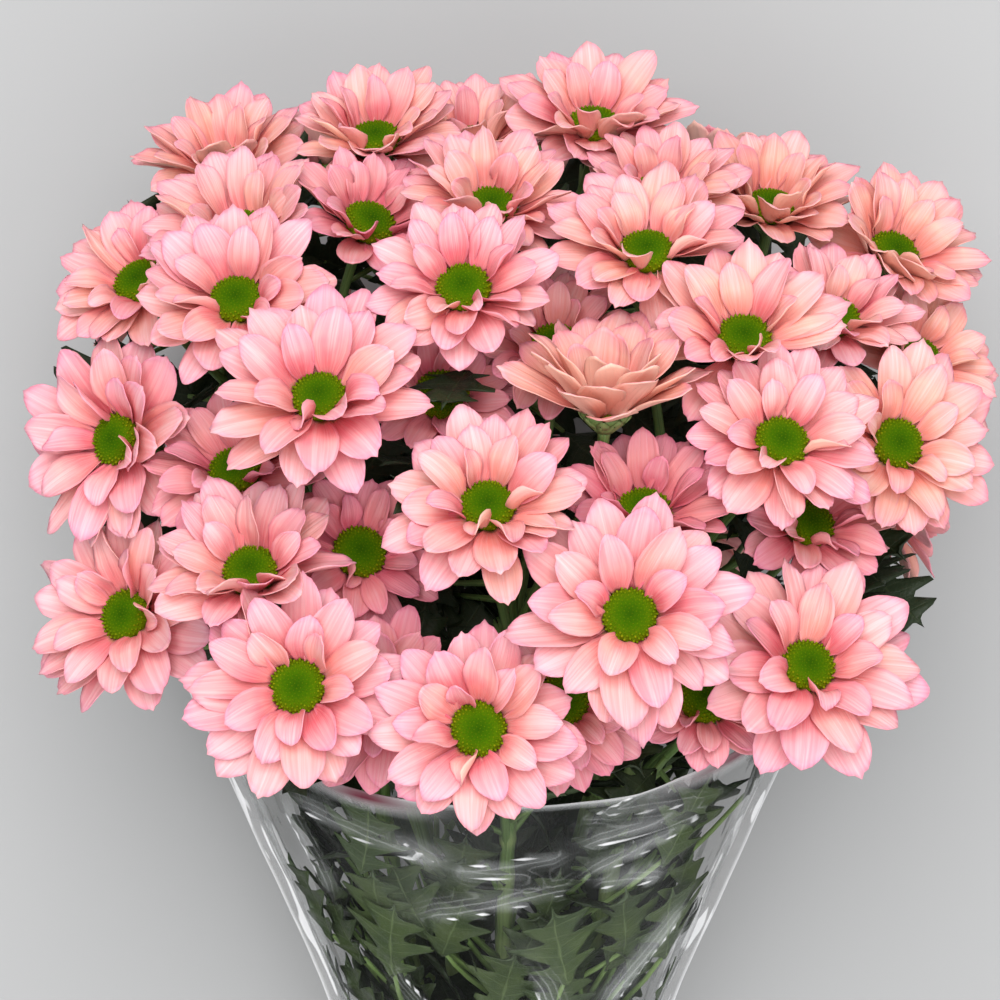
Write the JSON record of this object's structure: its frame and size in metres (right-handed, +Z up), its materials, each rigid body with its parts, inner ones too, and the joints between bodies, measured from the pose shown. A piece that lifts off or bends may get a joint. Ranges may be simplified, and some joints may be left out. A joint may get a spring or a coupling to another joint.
{
  "type": "spray chrysanthemum bunch",
  "caption": "Bunch of cut spray chrysanthemums with pink semi-double blooms and green discs, leafy stems, a rubber band and a clear film sleeve, lying on its back.",
  "frame": {"origin": "middle of the bunch's bounding box at the height of the surface it lies on", "axes": "+Y along the bunch from the cut ends to the flower heads, +Z up from the surface, +X to the right of the side that faces up"},
  "size_m": [0.3222, 0.6188, 0.2609],
  "materials": {
    "petal": "matte",
    "green": "matte",
    "sleeve": "gloss",
    "band": "matte"
  },
  "bodies": {
    "root": {"band": "band", "bloom_01": "petal", "bloom_02": "petal", "bloom_03": "petal", "bloom_04": "petal", "bloom_05": "petal", "bloom_06": "petal", "bloom_07": "petal", "bloom_08": "petal", "bloom_09": "petal", "bloom_10": "petal", "bloom_11": "petal", "bloom_12": "petal", "bloom_13": "petal", "bloom_14": "petal", "bloom_15": "petal", "bloom_16": "petal", "bloom_17": "petal", "bloom_18": "petal", "bloom_19": "petal", "bloom_20": "petal", "bloom_21": "petal", "bloom_22": "petal", "bloom_23": "petal", "bloom_24": "petal", "bloom_25": "petal", "bloom_26": "petal", "bloom_27": "petal", "bloom_28": "petal", "bloom_29": "petal", "bloom_30": "petal", "bloom_31": "petal", "bloom_32": "petal", "bloom_33": "petal", "bloom_34": "petal", "bloom_35": "petal", "bloom_36": "petal", "bloom_37": "petal", "bloom_38": "petal", "bloom_39": "petal", "bloom_40": "petal", "bloom_41": "petal", "bloom_42": "petal", "bloom_43": "petal", "bloom_44": "petal", "bloom_45": "petal", "bloom_46": "petal", "bloom_47": "petal", "bloom_48": "petal", "bloom_49": "petal", "bloom_50": "petal", "bloom_51": "petal", "sleeve": "sleeve", "spray_back_left": "green", "spray_back_right": "green", "spray_front": "green", "spray_left": "green", "spray_middle": "green", "spray_right": "green"}
  },
  "joints": []
}
